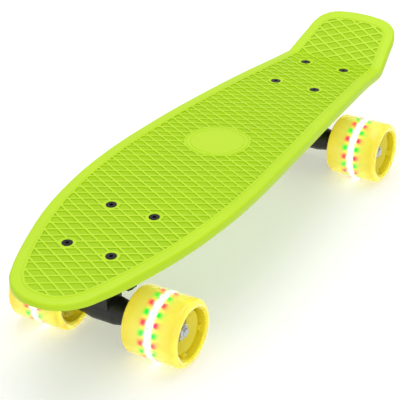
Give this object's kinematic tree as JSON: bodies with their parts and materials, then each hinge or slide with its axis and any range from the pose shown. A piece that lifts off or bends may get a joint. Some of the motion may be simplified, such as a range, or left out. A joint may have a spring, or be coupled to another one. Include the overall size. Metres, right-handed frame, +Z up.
{
  "type": "skateboard",
  "caption": "Short moulded plastic cruiser skateboard with crowned waffle-top deck, kicktail, kingpin trucks and wide clear light-up wheels.",
  "frame": {"origin": "on the ground, under the middle of the board's bounding box", "axes": "+X to the rider's left when facing the nose, +Y from the nose towards the kicktail, +Z up"},
  "size_m": [0.1612, 0.5729, 0.1202],
  "materials": {
    "deck_plastic": "satin",
    "black_paint": "satin",
    "black_steel": "satin",
    "black_urethane": "satin",
    "bearing_steel": "polished",
    "bright_nut": "polished",
    "magnet_nickel": "polished",
    "clear_yellow_urethane": "gloss",
    "yellow_plastic": "gloss",
    "white_board": "matte",
    "led_lens": "gloss",
    "yellow_shield": "satin"
  },
  "bodies": {
    "board": {"deck": "deck_plastic", "deck_bolts": "black_steel", "deck_nuts": "black_steel", "front_baseplate": "black_paint", "front_board_bushing": "black_urethane", "front_kingpin": "black_steel", "front_kingpin_nut": "black_steel", "front_large_cup_washer": "black_steel", "front_pivot_cup": "black_urethane", "front_road_bushing": "black_urethane", "front_small_cup_washer": "black_steel", "rear_baseplate": "black_paint", "rear_board_bushing": "black_urethane", "rear_kingpin": "black_steel", "rear_kingpin_nut": "black_steel", "rear_large_cup_washer": "black_steel", "rear_pivot_cup": "black_urethane", "rear_road_bushing": "black_urethane", "rear_small_cup_washer": "black_steel"},
    "front_hanger": {"front_axle": "bearing_steel", "front_axle_nuts": "bright_nut", "front_bearing_inner_races": "bearing_steel", "front_hanger": "black_paint", "front_magnet_spacers": "magnet_nickel", "front_speed_washers": "bearing_steel"},
    "rear_hanger": {"rear_axle": "bearing_steel", "rear_axle_nuts": "bright_nut", "rear_bearing_inner_races": "bearing_steel", "rear_hanger": "black_paint", "rear_magnet_spacers": "magnet_nickel", "rear_speed_washers": "bearing_steel"},
    "front_left_cages": {"front_left_ball_cages": "bearing_steel"},
    "front_left_wheel": {"front_left_bearing_outer_races": "bearing_steel", "front_left_bearing_shields": "yellow_shield", "front_left_core": "yellow_plastic", "front_left_leds": "led_lens", "front_left_light_ring": "white_board", "front_left_tyre": "clear_yellow_urethane"},
    "front_right_cages": {"front_right_ball_cages": "bearing_steel"},
    "front_right_wheel": {"front_right_bearing_outer_races": "bearing_steel", "front_right_bearing_shields": "yellow_shield", "front_right_core": "yellow_plastic", "front_right_leds": "led_lens", "front_right_light_ring": "white_board", "front_right_tyre": "clear_yellow_urethane"},
    "rear_left_cages": {"rear_left_ball_cages": "bearing_steel"},
    "rear_left_wheel": {"rear_left_bearing_outer_races": "bearing_steel", "rear_left_bearing_shields": "yellow_shield", "rear_left_core": "yellow_plastic", "rear_left_leds": "led_lens", "rear_left_light_ring": "white_board", "rear_left_tyre": "clear_yellow_urethane"},
    "rear_right_cages": {"rear_right_ball_cages": "bearing_steel"},
    "rear_right_wheel": {"rear_right_bearing_outer_races": "bearing_steel", "rear_right_bearing_shields": "yellow_shield", "rear_right_core": "yellow_plastic", "rear_right_leds": "led_lens", "rear_right_light_ring": "white_board", "rear_right_tyre": "clear_yellow_urethane"}
  },
  "joints": [
    {"name": "front_steer", "type": "hinge", "parent": "board", "child": "front_hanger", "pos_m": [0, -0.20877, 0.07013], "axis": [0, -0.9324, 0.3616], "range_deg": [-12, 12], "stiffness_Nm_per_rad": 22, "deforming": ["front_board_bushing", "front_road_bushing"]},
    {"name": "front_left_spin", "type": "hinge", "parent": "front_hanger", "child": "front_left_wheel", "pos_m": [0, -0.18793, 0.029], "axis": [1, 0, 0], "continuous": true},
    {"name": "front_left_cage_spin", "type": "hinge", "parent": "front_hanger", "child": "front_left_cages", "pos_m": [0, -0.18793, 0.029], "axis": [1, 0, 0], "continuous": true},
    {"name": "front_right_spin", "type": "hinge", "parent": "front_hanger", "child": "front_right_wheel", "pos_m": [0, -0.18793, 0.029], "axis": [1, 0, 0], "continuous": true},
    {"name": "front_right_cage_spin", "type": "hinge", "parent": "front_hanger", "child": "front_right_cages", "pos_m": [0, -0.18793, 0.029], "axis": [1, 0, 0], "continuous": true},
    {"name": "rear_steer", "type": "hinge", "parent": "board", "child": "rear_hanger", "pos_m": [0, 0.19977, 0.07013], "axis": [0, 0.9324, 0.3616], "range_deg": [-12, 12], "stiffness_Nm_per_rad": 22, "deforming": ["rear_board_bushing", "rear_road_bushing"]},
    {"name": "rear_left_spin", "type": "hinge", "parent": "rear_hanger", "child": "rear_left_wheel", "pos_m": [0, 0.17893, 0.029], "axis": [1, 0, 0], "continuous": true},
    {"name": "rear_left_cage_spin", "type": "hinge", "parent": "rear_hanger", "child": "rear_left_cages", "pos_m": [0, 0.17893, 0.029], "axis": [1, 0, 0], "continuous": true},
    {"name": "rear_right_spin", "type": "hinge", "parent": "rear_hanger", "child": "rear_right_wheel", "pos_m": [0, 0.17893, 0.029], "axis": [1, 0, 0], "continuous": true},
    {"name": "rear_right_cage_spin", "type": "hinge", "parent": "rear_hanger", "child": "rear_right_cages", "pos_m": [0, 0.17893, 0.029], "axis": [1, 0, 0], "continuous": true}
  ],
  "couplings": [
    {"joint": "front_left_cage_spin", "follows": "front_left_spin", "ratio": 0.6323},
    {"joint": "front_right_cage_spin", "follows": "front_right_spin", "ratio": 0.6323},
    {"joint": "rear_left_cage_spin", "follows": "rear_left_spin", "ratio": 0.6323},
    {"joint": "rear_right_cage_spin", "follows": "rear_right_spin", "ratio": 0.6323}
  ]
}
